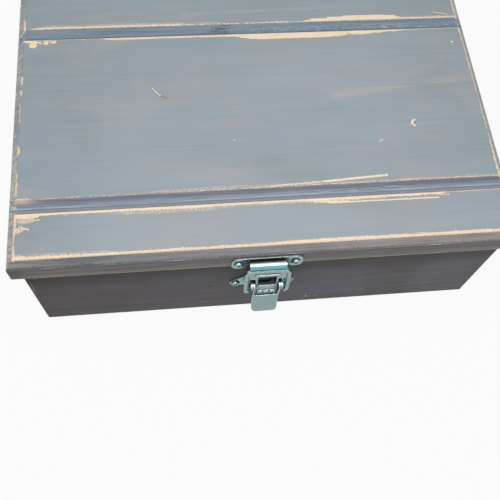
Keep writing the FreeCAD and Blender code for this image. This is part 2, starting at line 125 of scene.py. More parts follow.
# Zones of a lid board: where in mm each begins and where it is full
TOP_FROM = (TOP - 1.8, TOP - 1.2)
BEVEL_FROM = (BEVEL_FOOT - 0.4, BEVEL_FOOT + 0.2)
BEVEL_TO = (TOP - 1.0, TOP - 0.4)
UPRIGHT_TO = (BEVEL_FOOT - 0.8, BEVEL_FOOT - 0.1)
UNDER_Z = (LID_UNDER + 0.3, LID_UNDER + 0.1)
UNDER_X = (END_ARRIS - 1.5, END_ARRIS - 2.5)
UNDER_Y = (139.5, 138.5)
UNDER_WOBBLE = 6.0
FRONT_BEVEL = (FRONT_ARRIS + 1.0, FRONT_ARRIS)
FRONT_LEDGE = (GROOVE_A[0] - 0.5, GROOVE_A[0] + 0.3)
MIDDLE_WALL = (GROOVE_A[2] + 0.7, GROOVE_A[2] - 0.1)
MIDDLE_LEDGE = (GROOVE_B[0] - 0.7, GROOVE_B[0] + 0.1)
REAR_WALL = (GROOVE_B[2] + 0.9, GROOVE_B[2] - 0.1)
REAR_BEVEL = (REAR_ARRIS - 0.4, REAR_ARRIS + 0.4)
LEDGE_Z = (137.4, 138.6)

# Planed pine: noises as waves along and across the grain, detail, roughness, distortion, shift
PINE_WANDER = ((3.0, 16.0), 3.0, 0.5, 0.3)
PINE_FIBRE = ((30.0, 1500.0), 3.0, 0.6)
PINE_CLOUD = ((6.0, 30.0), 2.0, 0.5, 0.0, (4.0, 9.0, 2.0))
RINGS_PER_M = 210.0
RING_WANDER = 5.0
LATE_RISE = (0.25, 0.86)
LATE_FALL = (0.9, 1.0)
LATE_TONE = 0.62
FIBRE_TONE = 0.7
CLOUD_TONE = 0.6
PINE_RANGE = (-0.2, 1.0)
LATE_RELIEF = 0.4
FIBRE_RELIEF = 0.6
PINE_ROUGH = (0.55, 0.75)
PINE_DEPTH = 0.15 * MM

# Hearts of the boards' growth rings, in mm
FRONT_HEART = (0.0, -150.0, 190.0)
MIDDLE_HEART = (0.0, 20.0, 90.0)
REAR_HEART = (0.0, 90.0, 60.0)
CASE_HEART = (0.0, 60.0, -40.0)
BATTEN_HEART = (110.0, 0.0, 60.0)

# Noises of the lid's paint: waves per metre along X, Y and Z, detail, roughness, distortion, shift
LID_NOISES = {
    "cloud": ((9.0, 16.0, 16.0), 3.0, 0.5, 0.6),
    "drift": ((4.0, 7.0, 7.0), 2.0, 0.5, 0.4, (7.0, 3.0, 1.0)),
    "rose": ((12.0, 26.0, 26.0), 4.0, 0.6, 0.8, (2.0, 5.0, 8.0)),
    "band": ((4.0, 110.0, 110.0), 3.0, 0.6, 0.2, (1.0, 2.0, 4.0)),
    "brush": ((9.0, 520.0, 520.0), 3.0, 0.6, 0.1),
    "fine": ((70.0, 1600.0, 1600.0), 2.0, 0.6),
    "slow": ((13.0, 6.0, 6.0), 3.0, 0.6),
    "slow_y": ((4.0, 26.0, 4.0), 3.0, 0.6, 0.0, (1.0, 8.0, 3.0)),
    "comb": ((60.0, 1100.0, 1100.0), 2.0, 0.6, 0.0, (3.0, 6.0, 9.0)),
    "speck": ((520.0, 950.0, 950.0), 2.0, 0.65),
    "cross": ((950.0, 260.0, 700.0), 3.0, 0.65, 0.6),
    "sweep": ((13.0, 380.0, 380.0), 3.0, 0.6, 0.9, (8.0, 1.0, 5.0)),
    "dots": ((800.0, 1500.0, 1500.0), 2.0, 0.6, 0.3, (6.0, 2.0, 2.0)),
    "ridge": ((110.0, 430.0, 110.0), 3.0, 0.6, 0.9, (2.0, 7.0, 1.0)),
    "split": ((90.0, 900.0, 90.0), 2.0, 0.6, 0.6, (5.0, 1.0, 3.0)),
}

# The lid's top with painted light and shade: lighter towards the front and the middle and darker at the left
TOP_CLOUD = (0.36, 0.64)
LIGHT_PER_MM = -0.004
LIGHT_DRIFT = 2.6
LIGHT_ENDS = (120.0, END_FACE)
LIGHT_ENDS_LOSS = 0.5
LIGHT_LEFT = (-110.0, -195.0)
LIGHT_LEFT_LOSS = 0.8
LIGHT_TINT = ((-0.5, 1.0), 0.85)
LEFT_SHADE = 0.2

# Tints laid over a colour one after the other: noise, range, share, tone
TOP_TINTS = (
    ("rose", (0.45, 0.72), 0.6, PAINT_ROSE),
    ("band", (0.5, 0.75), 0.12, PAINT_SHADE),
    ("brush", (0.5, 0.8), 0.24, PAINT_SHADE),
    ("brush", (0.5, 0.22), 0.24, PAINT_LIGHT),
)
CASE_TINTS = (
    ("warm", (0.48, 0.72), 0.6, CASE_BROWN),
    ("band", (0.52, 0.74), 0.3, PAINT_SHADE),
    ("brush", (0.5, 0.75), 0.45, CASE_BROWN),
    ("brush", (0.45, 0.25), 0.3, PAINT_SHADE),
)

# Streaks along a board: range and share
SWEEP_DARK = ((0.5, 0.66), 0.6)
SWEEP_PALE = ((0.46, 0.34), 0.45)
COMB_DARK = ((0.55, 0.72), 0.4)

# How ragged wear is, in mm, and how softly it ends
RUB_SOFT = 0.3
EDGE_COMB = 3.4
EDGE_SPECK = 3.2
EDGE_LIP_SPECK = 1.6
HALO_SOFT = 1.0
HALO_DOTS = (0.5, 0.6)
SCUFF_SPECK = 4.0
SCUFF_RANGE = (-0.6, 1.2)
SCUFF_DOTS = (0.42, 0.54)
END_CROSS = 4.5
END_LIP = 1.2
END_LIP_SPECK = 2.0
LINE_SLOW = 2.8
LINE_COMB = 2.0
LINE_SPECK = 1.6
LINE_SOFT = 0.5
LINE_SHARE = 0.7
END_LINE = 0.3
MARK_SPECK = 2.0
MARK_SOFT = 0.25
DENT_SOFT = 0.4
STREAK_SPECK = 0.8
STREAK_RANGE = (0.38, 0.66)

# End grain in the bevels at the lid's ends
END_MITRE = (0.0, 0.8)
END_SLOW = 0.4
END_RIGHT = (0.0, 1.0)
END_RIGHT_LOSS = 0.07
END_PALE_TINT = ((0.4, 0.62), 0.8)
END_DARK_TINT = ((0.56, 0.7), 0.55)
END_BITE = (0.62, 0.72)
END_BITE_SHARE = 0.7

# Upright faces of the lid: heights and lengths in mm with shares
FACE_SWAY = 10.0
FACE_LOW_TINT = ((124.0, 117.0), 0.5)
FACE_HIGH_TINT = ((128.0, 132.5), 0.65)
# Painted shade on the upright faces at the lid's left end
FACE_CORNER_SWAY = 16.0
FACE_CORNER_TINT = ((-194.0, -210.0), 0.6)
FACE_COVER = 0.92

# Bare wood, joints, roughness and relief of the painted boards
BARE_COMB = (0.42, 0.8)
WEAR_RIM_RISE = (0.02, 0.25)
WEAR_RIM_FALL = (0.75, 0.35)
WEAR_RIM_SHARE = 0.4
SEAM_ABOVE = ((1.0 * MM, 0.3 * MM), 0.55)
SEAM_BELOW = ((0.8 * MM, 0.3 * MM), 0.6)
PAINT_ROUGH = (0.5, 0.66)
WEAR_ROUGH = 0.2
LID_BRUSH_RELIEF = 0.22
SPECK_RELIEF = 0.1
BAND_RELIEF = 0.3
END_RELIEF = 0.6
GRAIN_RELIEF = 0.4
PAINT_DEPTH = 0.2 * MM

# Front board's bevel, along X and Z in mm
FRONT_RUN_SWAY = 260.0
FRONT_PURPLE_X = (-150.0, -90.0)
FRONT_PINK_X = (10.0, 110.0)
TAN_SWAY = 90.0
TAN_X = (-160.0, -205.0)
TAN_SWEEP = (0.44, 0.56)
TAN_SHARE = 0.4
CHATTER_CROSS = 5.0
CHATTER_SWEEP = 3.0
FRONT_FOOT_TINT = ((134.4, 133.4), 0.7)

# Middle board's front wall, along X and Z in mm
WALL_SWAY = 3.0
WALL_Z = (137.4, 135.0)
WALL_FOOT_Z = (135.0, 133.9)
WALL_FOOT_SWEEP = (0.4, 0.56)
WALL_FLECK_SHARE = 0.6
LONG_FLECK_X = (30.0, 140.0, 25.0)
LONG_FLECK_Z = (137.0, 136.0)
LONG_FLECK_COMB = (0.5, 0.6)
WEDGE_SWAY = 30.0
WEDGE_X = (-184.0, -206.0)
WEDGE_Z = (136.0, 138.4)
WEDGE_SHARE = 0.75

# Rear board's front wall, along X and Z in mm
FLECK_NOISE = ((150.0, 900.0, 900.0), 3.0, 0.75, 0.4, (4.0, 4.0, 1.0))
FLECK_SWAY = 200.0
FLECK_X = (-30.0, 40.0)
FLECK_Z = (137.6, 135.6)
FLECK_RANGE = (0.54, 0.62)
FLECK_SHARE = 0.75
SMUDGE_X = (-34.0, -18.0, 5.0)
SMUDGE_SPECK = 0.4
SMUDGE_RANGE = (0.4, 0.6)
SMUDGE_SHARE = 0.7

# Wear of the boards in mm by kind, each row as the method of that name in LidPaint takes it.
# A zone or halo has its start and end, how soft they are and how much wider the wear is there.
FRONT_WEAR = {
    "long_edge": (
        (
            FRONT_ARRIS, 1.0, 0.9, 1.8, 1.1,
            ((-216, -200, 3, 1.4), (-200, -170, 12, 0.4), (20, 80, 15, 1.0), (80, 190, 15, 0.6)),
            ((-210, -130, 10, 2.2), (-20, 20, 10, 1.0)),
        ),
        (
            GROOVE_A[0], -1.0, 2.0, 1.8, 0.5,
            ((-216, -200, 3, 1.6), (-105, -45, 20, 0.6), (30, 95, 15, 0.8), (154, 216, 4, -1.6)),
            ((-130, -35, 15, 3.4), (-35, 45, 10, 1.6)),
        ),
    ),
    "end_edge": (
        (-1.0, 0.1, 2.8, ((-122, -100, 4, 1.0), (-140, -132, 2, 0.8))),
        (1.0, 0.5, 2.4, ()),
    ),
    "mark": (
        ((-201, -103.4), (-190, -103.2), 1.0, 1.0, 1.4),
        ((-193, -106.6), (-188.5, -106.0), 0.6, 0.9, 1.0),
        ((-202, -113.0), (-197.0, -114.4), 0.7, 0.9, 1.2),
        ((52, -105.2), (148, -105.6), 0.7, 1.0, 0.9),
        ((40, -103.4), (70, -105.0), 0.9, 1.0, 1.2),
        ((150, -103.0), (158, -103.4), 0.5, 0.8, 0.8),
    ),
    "scuff": (
        ((-203, -106), (-196, -105.5), 3.6),
        ((-205, -115), (-203, -114), 3.2),
    ),
    "streak": (
        ((30, -128), (150, -123), 3.0, 0.18),
        ((120, -131), (205, -127), 5.0, 0.3),
    ),
    "face_line": (
        (FRONT_FACE, BEVEL_FOOT, -0.1),
        (FRONT_FACE, LID_UNDER, 0.7),
    ),
}
MIDDLE_WEAR = {
    "long_edge": (
        (
            GROOVE_A[2], 1.0, -0.5, 2.4, 0.6,
            ((-212, -196, 4, 0.8), (-60, 60, 20, 0.6), (60, 112, 10, 0.5), (112, 210, 4, 0.4)),
            ((-100, 20, 14, 3.0), (20, 210, 8, 1.4)),
            0.8,
        ),
        (
            GROOVE_B[0], -1.0, 0.3, 1.4, 0.5,
            ((-208, -196, 3, 2.4), (-134, 150, 10, 1.9), (-4, 92, 16, 4.6), (92, 125, 14, 2.2)),
        ),
    ),
    "end_edge": (
        (
            -1.0, -2.2, 3.4,
            ((30, 40, 2, 3.2), (18, 25, 2, 3.0), (-12, 10, 4, 2.4), (-44, -34, 3, 3.2), (-86, -60, 4, 2.0)),
        ),
        (1.0, 0.3, 2.6, ((-90, -60, 8, 0.8), (60, 84, 4, 0.6))),
    ),
    "mark": (
        ((-200.5, 74.6), (-199, 74.6), 2.9, 1.0, 0.8),
        ((-197, 77.6), (-180, 77.8), 1.4, 1.0, 1.8),
        ((-190, 76.6), (-187, 76.2), 0.9, 1.0, 1.2),
        ((5, -86.0), (52, -84.2), 0.7, 0.9, 1.8),
        ((52, -84.2), (107, -81.0), 1.1, 1.0, 1.0),
        ((-92.7, 21.8), (-89.8, 17.4), 0.5, 0.75, 0.5),
        ((-89.8, 17.4), (-85.8, 13.2), 0.55, 0.8, 0.5),
        ((-85.8, 13.2), (-80.6, 10.0), 0.45, 0.5, 0.5),
        ((140.4, -26.4), (139.6, -29.2), 1.1, 1.0, 0.6),
        ((139.8, -29.2), (142.0, -31.2), 1.0, 1.0, 0.6),
        ((140.6, -25.6), (142.8, -25.0), 0.9, 1.0, 0.5),
        ((197, 63), (197.4, 63.2), 1.1, 1.0, 0.5),
        ((197.6, 59.4), (197.8, 59.4), 0.5, 0.8, 0.3),
        ((106, -46.4), (110, -44.4), 0.7, 0.65, 0.5),
        ((-24, -38), (-22, -37.6), 0.6, 0.6, 0.5),
        ((6, 8.4), (12, 7.4), 0.6, 0.35, 0.8),
    ),
    "streak": (
        ((74, 6), (140, 14), 4.5, 0.7),
        ((136, 14), (205, 20), 3.0, 0.65),
        ((104, -32.0), (176, -27.6), 0.9, 0.55),
        ((60, 2), (104, 4), 1.6, 0.3),
        ((-106, 30), (-102, 12), 6.0, 0.25),
        ((10, -4), (60, -2), 2.6, 0.2),
        ((84, -8), (112, -6), 2.0, 0.2),
        ((-70, -72), (40, -68), 5.0, 0.2),
    ),
    "dent": (
        ((-84.6, 12.0), (-80.2, 9.6), 0.5, 0.6),
        ((-192.0, 77.8), (-190.6, 77.8), 0.7, 0.8),
        ((-185.4, 77.6), (-183.8, 77.8), 0.6, 0.8),
        ((-195.6, 76.6), (-195.0, 76.4), 0.5, 0.7),
        ((96, 77.6), (99, 77.2), 0.5, 0.5),
        ((26, 79.0), (30, 79.2), 0.4, 0.4),
        ((141.8, -28.0), (142.2, -28.6), 0.7, 0.5),
    ),
}
REAR_WEAR = {
    "long_edge": (
        (
            GROOVE_B[2], 1.0, -0.5, 1.8, 0.6,
            ((-196, -60, 8, 1.7), (-60, 58, 8, 0.4), (58, 150, 6, 2.6), (150, 210, 4, 1.0)),
            ((-200, -20, 12, 2.2), (150, 210, 4, 1.6)),
            0.9,
        ),
        (REAR_ARRIS, -1.0, 0.8, 3.0, 1.0, ((-150, -60, 20, 0.8), (20, 120, 20, 1.0))),
    ),
    "end_edge": (
        (-1.0, -0.8, 3.0, ((92, 104, 3, 1.6),)),
        (1.0, 0.5, 2.4, ()),
    ),
    "mark": (
        ((64, 96.2), (150, 96.2), 1.0, 1.0, 0.6),
        ((80, 97.4), (146, 97.4), 1.4, 1.0, 0.6),
        ((96, 98.8), (136, 98.6), 1.0, 1.0, 0.6),
        ((186, 101), (200, 98), 0.5, 0.8, 0.8),
    ),
    "streak": (
        ((-60, 107), (20, 109), 1.8, 0.5),
        ((10, 109), (130, 112), 1.6, 0.4),
        ((-200, 118), (-120, 120), 2.4, 0.18),
    ),
    "face_line": (
        (REAR_FACE, BEVEL_FOOT, 0.1),
        (REAR_FACE, LID_UNDER, 0.3),
    ),
}

# Noises of the case's paint: waves per metre, detail, roughness, distortion, shift
CASE_NOISES = {
    "cloud": ((9.0, 9.0, 18.0), 3.0, 0.55, 0.5),
    "warm": ((16.0, 16.0, 9.0), 3.0, 0.55, 0.3, (3.0, 1.0, 7.0)),
    "speck": ((420.0, 420.0, 420.0), 2.0, 0.6),
    "slow": ((18.0, 18.0, 18.0), 3.0, 0.6),
}
CASE_BRUSH = ((9.0, 420.0), 3.0, 0.6, 0.1)
CASE_BAND = ((4.0, 70.0), 3.0, 0.6, 0.2, (6.0, 2.0, 4.0))

# The case's paint and its wear, in mm where they are lengths
CASE_CLOUD = (0.35, 0.66)
CASE_LEFT_SWAY = 300.0
CASE_LEFT_TINT = ((20.0, -170.0), 0.45)
CASE_RAGGED = 2.4
CASE_EDGE_SWAY = 4.0
CASE_EDGE_SOFT = 0.4
CASE_CORNER_WIDTH = 1.0
CASE_FOOT_WIDTH = 0.0
CASE_FRONT_Y = (-140.2, -140.6)
CASE_FLECK_RAGGED = 0.3
CASE_INSIDE_X = (191.4, 191.0)
CASE_INSIDE_Y = (123.4, 123.0)
CASE_INSIDE_Z = (19.4, 19.8)
CASE_RIM_Z = (114.4, 114.7)
CASE_RIM_SPECK = 0.4
CASE_RIM_RANGE = (0.42, 0.5)
CASE_UNDER_Z = (0.3, 0.1)
CASE_BRUSH_RELIEF = 0.35
CASE_PAINT_RELIEF = 0.4
PAINT_SPECULAR = 0.2

# Chips and dark spots on the case's front: start and end in X and Z, radius, strength
CASE_CHIPS = (
    ((41, 12), (41.6, 10.6), 0.5, 0.5),
    ((44.6, 13.4), (45.2, 10), 0.8, 0.8),
    ((49, 11.6), (49.6, 10.6), 0.5, 0.6),
    ((53.6, 11.4), (55, 10.8), 0.6, 0.6),
    ((-205.5, 92), (-206, 72), 0.7, 0.5),
    ((98, 22), (100, 22), 0.5, 0.4),
    ((160, 30), (163, 30), 0.4, 0.4),
    ((-60, 15), (-50, 15), 0.4, 0.3),
)
CASE_SPOTS = (
    ((-51, 56), (-50.5, 55), 1.6, 0.5),
    ((-150, 38), (-149, 38), 1.3, 0.4),
    ((-113, 30), (-112, 30), 1.2, 0.35),
    ((120, 64), (121, 63), 1.0, 0.3),
)

# Dirt and painted shade: how far into a gap they reach; a painted shadow under the lid's overhang and painted
# shade at the front's left end; painted shade in the pit behind the latch
SHELTER_SAMPLES = 8
CASE_SHELTER = 14.0 * MM
CASE_DIRT_AND_SHADE = (0.5, 0.15)
CASE_DIRT_AND_SHADE_SHARE = 0.7
OVERHANG_SHADOW_SWAY = 14.0
OVERHANG_SHADOW_Z = (68.0, 98.0)
OVERHANG_SHADOW_SHARE = 0.5
LEFT_END_SHADE_X = (-165.0, -208.0)
LEFT_END_SHADE_SHARE = 0.26
LATCH_PIT_X = (-17.0, 10.0, 1.5)
LATCH_PIT_Z = (54.0, 96.0, 1.5)
CASE_PIT_SHARE = 0.85
ZINC_PIT_SHARE = 0.97

# Zinc plate: noises as waves per metre, detail, roughness, distortion, shift
ZINC_CLOUD = ((45.0, 45.0, 45.0), 2.0, 0.5, 0.3)
ZINC_FINE = ((900.0, 900.0, 900.0), 3.0, 0.6)
ZINC_DRAWN = ((120.0, 900.0, 2600.0), 3.0, 0.6)
ZINC_STAIN = ((300.0, 300.0, 300.0), 4.0, 0.65, 0.3, (5.0, 2.0, 8.0))
ZINC_TEAL_TINT = ((0.4, 0.66), 0.4)
ZINC_WARM_TINT = ((0.56, 0.76), 0.3)
ZINC_COVER_STAIN = 0.4
ZINC_CYAN_TINT = ((1.0, 0.75), 0.5)
ZINC_UP_STAIN = 0.3
# Painted highlight on zinc faces that look up and painted shade on faces that look down
ZINC_PAINTED_HIGHLIGHT_TINT = ((0.45, 0.85), 0.8)
ZINC_PAINTED_SHADE_TINT = ((0.0, -0.4), 0.8)
# A painted cyan reflection on the lower half of the hook's roll
HOOK_PAINTED_REFLECTION_Z = (123.2, 128.6, 0.8)
HOOK_PAINTED_REFLECTION_Y = (-153.6, -154.4)
HOOK_PAINTED_REFLECTION_SHARE = 0.8
# Dirt and painted shade in the zinc's gaps, and painted shade in the latch's pit
ZINC_DIRT_AND_SHADE_RUN = 0.5
ZINC_DIRT_AND_SHADE_SHARE = 0.9
ZINC_ROUGH = (0.12, 0.24)
ZINC_DIRT_AND_SHADE_ROUGH = 0.3
ZINC_RELIEF = 0.5
ZINC_DEPTH = 0.015 * MM
ZINC_SOFT_EDGE = 0.6 * MM
ZINC_SPECULAR = 0.05
SOFT_EDGE_SAMPLES = 6

# Painted nail heads
NAIL_NOISE = ((700.0, 700.0, 700.0), 3.0, 0.6)
NAIL_RANGE = (0.4, 0.62)
NAIL_STAIN_TINT = ((0.58, 0.72), 0.3)
NAIL_ROUGH = (0.5, 0.7)
NAIL_DEPTH = 0.05 * MM

# Ridges on the draw plate's front in mm: the pressed bead above the window and the three knuckles of its foot
BEAD_HEIGHTS = (113.2, 116.6)
BEAD_LENGTH = 22.6
BEAD_RISE = 1.5
KNUCKLE_HEIGHTS = (84.6, 89.4)
KNUCKLE_LENGTH = 5.3
KNUCKLE_RISE = 1.9
KNUCKLE_PITCH = 5.5
RIDGE_SINK = 0.2
RIDGE_END_SHARE = 0.1
RIDGE_STEPS = 32
RIDGE_SIDES = 12
RAY_START = 10.0
MERGE_GAP = 0.001

# Stage, lamp and camera in metres and degrees
FLOOR_HALF = 6.0
FLOOR_SHADE = 0.06
AMBIENT = 0.4
LAMP_PLACE = (-0.05, -0.28, 1.05)
LAMP_TARGET = (0.0, -0.05, 0.1)
LAMP_SIZE = (0.6, 0.5)
LAMP_POWER = 5.5
LENS = 49.0437
SENSOR = 36.0
EYE_PLACE = (-0.07118, -0.37011, 0.64528)
EYE_TURN = (24.382, -3.4677, -5.3864)


class Graph:
    """A material's node tree, built up by calls that return sockets. The places mx, my and mz are in mm."""

    def __init__(self, name):
        self.material = bpy.data.materials.new(name)
        self.material.use_nodes = True
        self.tree = self.material.node_tree
        self.tree.nodes.clear()
        where = self.new("TexCoord")
        self.place = where.outputs["Object"]
        self.normal = where.outputs["Normal"]
        self.mx, self.my, self.mz = (self.mm(part) for part in self.parts(self.place))

    def new(self, kind, **settings):
        node = self.tree.nodes.new("ShaderNode" + kind)
        for key, value in settings.items():
            setattr(node, key, value)
        return node

    def feed(self, socket, value):
        if isinstance(value, bpy.types.NodeSocket):
            self.tree.links.new(value, socket)
        else:
            socket.default_value = value

    def parts(self, vector):
        split = self.new("SeparateXYZ")
        self.feed(split.inputs[0], vector)
        return split.outputs

    def math(self, operation, a, b=0.0):
        node = self.new("Math", operation=operation)
        self.feed(node.inputs[0], a)
        self.feed(node.inputs[1], b)
        return node.outputs[0]

    def add(self, a, b):
        return self.math("ADD", a, b)

    def sub(self, a, b):
        return self.math("SUBTRACT", a, b)

    def mul(self, a, b):
        return self.math("MULTIPLY", a, b)

    def least(self, a, b):
        return self.math("MINIMUM", a, b)

    def most(self, *values):
        out = values[0]
        for value in values[1:]:
            out = self.math("MAXIMUM", out, value)
        return out

    def absolute(self, a):
        return self.math("ABSOLUTE", a)

    def flip(self, a):
        return self.sub(1.0, a)

    def mm(self, metres):
        return self.mul(metres, MM_PER_M)

    def sway(self, noise, size):
        """Noise that lies around 0 instead of 0.5, times a size."""
        return self.mul(self.sub(noise, NOISE_MIDDLE), size)

    def vector(self, operation, a, b):
        node = self.new("VectorMath", operation=operation)
        self.feed(node.inputs[0], a)
        self.feed(node.inputs[1], b)
        return node.outputs["Value"] if operation in ("DISTANCE", "DOT_PRODUCT") else node.outputs["Vector"]

    def noise(self, waves, detail, roughness, distortion=0.0, shift=None):
        """Noise around 0.5, with so many waves per metre along X, Y and Z."""
        place = self.vector("MULTIPLY", self.place, waves)
        if shift:
            place = self.vector("ADD", place, shift)
        node = self.new("TexNoise")
        self.feed(node.inputs["Vector"], place)
        node.inputs["Scale"].default_value = 1.0
        node.inputs["Detail"].default_value = detail
        node.inputs["Roughness"].default_value = roughness
        node.inputs["Distortion"].default_value = distortion
        return node.outputs["Fac"]

    def noise_along(self, axis, waves, *settings):
        """Noise with few waves along one axis and many across it."""
        along, across = waves
        return self.noise(tuple(along if i == axis else across for i in range(3)), *settings)

    def ramp(self, value, low, high):
        """0 at low and 1 at high, with a smooth way between."""
        node = self.new("MapRange", interpolation_type="SMOOTHSTEP")
        self.feed(node.inputs["Value"], value)
        self.feed(node.inputs["From Min"], low)
        self.feed(node.inputs["From Max"], high)
        return node.outputs["Result"]

    def span(self, value, low, high, soft):
        """1 between low and high, with soft ends."""
        rise = self.ramp(value, low - soft, low + soft)
        fall = self.ramp(value, high - soft, high + soft)
        return self.sub(rise, fall)

    def rubbed(self, reach, soft=RUB_SOFT):
        """1 where the paint is rubbed off: reach is how far, in mm, the wear goes past a place."""
        return self.ramp(reach, -soft, soft)

    def blend(self, share, a, b):
        node = self.new("Mix", data_type="RGBA")
        self.feed(node.inputs[0], share)
        self.feed(node.inputs[MIX_A], a)
        self.feed(node.inputs[MIX_B], b)
        return node.outputs[MIX_OUT]

    def tint(self, colour, value, limits, share, tone):
        """A tone laid over a colour where a value goes from one limit to the other, up to a share."""
        return self.blend(self.mul(self.ramp(value, *limits), share), colour, tone)

    def level(self, share, a, b):
        """A number that goes from a to b with share."""
        node = self.new("MapRange")
        self.feed(node.inputs["Value"], share)
        node.inputs["To Min"].default_value = a
        node.inputs["To Max"].default_value = b
        return node.outputs["Result"]

    def to_line(self, axis, point):
        """Distance in metres to a line along an axis through a point in mm."""
        keep = tuple(0.0 if i == axis else 1.0 for i in range(3))
        foot = tuple(0.0 if i == axis else point[i] * MM for i in range(3))
        return self.vector("DISTANCE", self.vector("MULTIPLY", self.place, keep), foot)

    def stroke(self, start, end, radius, across=ALONG_Z):
        """How deep a place lies in a capsule, in mm, and below 0 outside it.

        Start and end are points in mm on a face; the axis across the face is ignored.
        """
        axes = [i for i in range(3) if i != across]
        first = Vector()
        last = Vector()
        keep = [0.0, 0.0, 0.0]
        for axis, from_mm, to_mm in zip(axes, start, end):
            first[axis] = from_mm * MM
            last[axis] = to_mm * MM
            keep[axis] = 1.0
        run = last - first
        way = self.vector("SUBTRACT", self.vector("MULTIPLY", self.place, keep), first)
        share = self.math("DIVIDE", self.vector("DOT_PRODUCT", way, run), max(run.length_squared, TINY))
        clamp = self.new("Clamp")
        self.feed(clamp.inputs["Value"], share)
        foot = self.new("VectorMath", operation="SCALE")
        foot.inputs[0].default_value = run
        self.feed(foot.inputs["Scale"], clamp.outputs[0])
        gap = self.vector("DISTANCE", way, foot.outputs[0])
        return self.mm(self.sub(radius * MM, gap))

    def shelter(self, reach):
        """1 in the open and less where other surfaces stand within the reach in metres."""
        node = self.new("AmbientOcclusion", samples=SHELTER_SAMPLES)
        node.inputs["Distance"].default_value = reach
        return node.outputs["AO"]

    def in_pit(self):
        """1 in the pit behind the latch."""
        return self.mul(self.span(self.mx, *LATCH_PIT_X), self.span(self.mz, *LATCH_PIT_Z))

    def pine(self, axis, heart):
        """Colour and height of planed pine with its grain along one axis and its heart at a point in mm."""
        wander = self.noise_along(axis, *PINE_WANDER)
        turns = self.add(self.mul(self.to_line(axis, heart), RINGS_PER_M), self.mul(wander, RING_WANDER))
        phase = self.math("FRACT", turns)
        late = self.mul(self.ramp(phase, *LATE_RISE), self.flip(self.ramp(phase, *LATE_FALL)))
        fibre = self.noise_along(axis, *PINE_FIBRE)
        cloud = self.noise_along(axis, *PINE_CLOUD)
        tone = self.add(self.mul(late, LATE_TONE), self.sway(fibre, FIBRE_TONE))
        tone = self.add(tone, self.sway(cloud, CLOUD_TONE))
        colour = self.blend(self.ramp(tone, *PINE_RANGE), PINE_EARLY, PINE_LATE)
        height = self.add(self.mul(late, LATE_RELIEF), self.mul(fibre, FIBRE_RELIEF))
        return colour, height

    def finish(self, colour, rough, height, depth, specular=None, metallic=None, soft_edge=None):
        """The shader; what isn't given stays as Blender has it."""
        shader = self.new("BsdfPrincipled")
        looks = {
            "Base Color": colour, "Roughness": rough,
            "Specular IOR Level": specular, "Metallic": metallic,
        }
        for key, value in looks.items():
            if value is not None:
                self.feed(shader.inputs[key], value)
        bump = self.new("Bump")
        bump.inputs["Strength"].default_value = 1.0
        bump.inputs["Distance"].default_value = depth
        self.feed(bump.inputs["Height"], height)
        if soft_edge:
            bevel = self.new("Bevel", samples=SOFT_EDGE_SAMPLES)
            bevel.inputs["Radius"].default_value = soft_edge
            self.feed(bump.inputs["Normal"], bevel.outputs[0])
        self.feed(shader.inputs["Normal"], bump.outputs[0])
        out = self.new("OutputMaterial")
        self.feed(out.inputs["Surface"], shader.outputs[0])
        return self.material


class Paint(Graph):
    """Paint with noises that are known by name."""

    def __init__(self, name, noises):
        super().__init__(name)
        for key, settings in noises.items():
            setattr(self, key, self.noise(*settings))
        self.bites = []
        self.dark = []

    def tints(self, colour, rows):
        for key, limits, share, tone in rows:
            colour = self.tint(colour, getattr(self, key), limits, share, tone)
        return colour


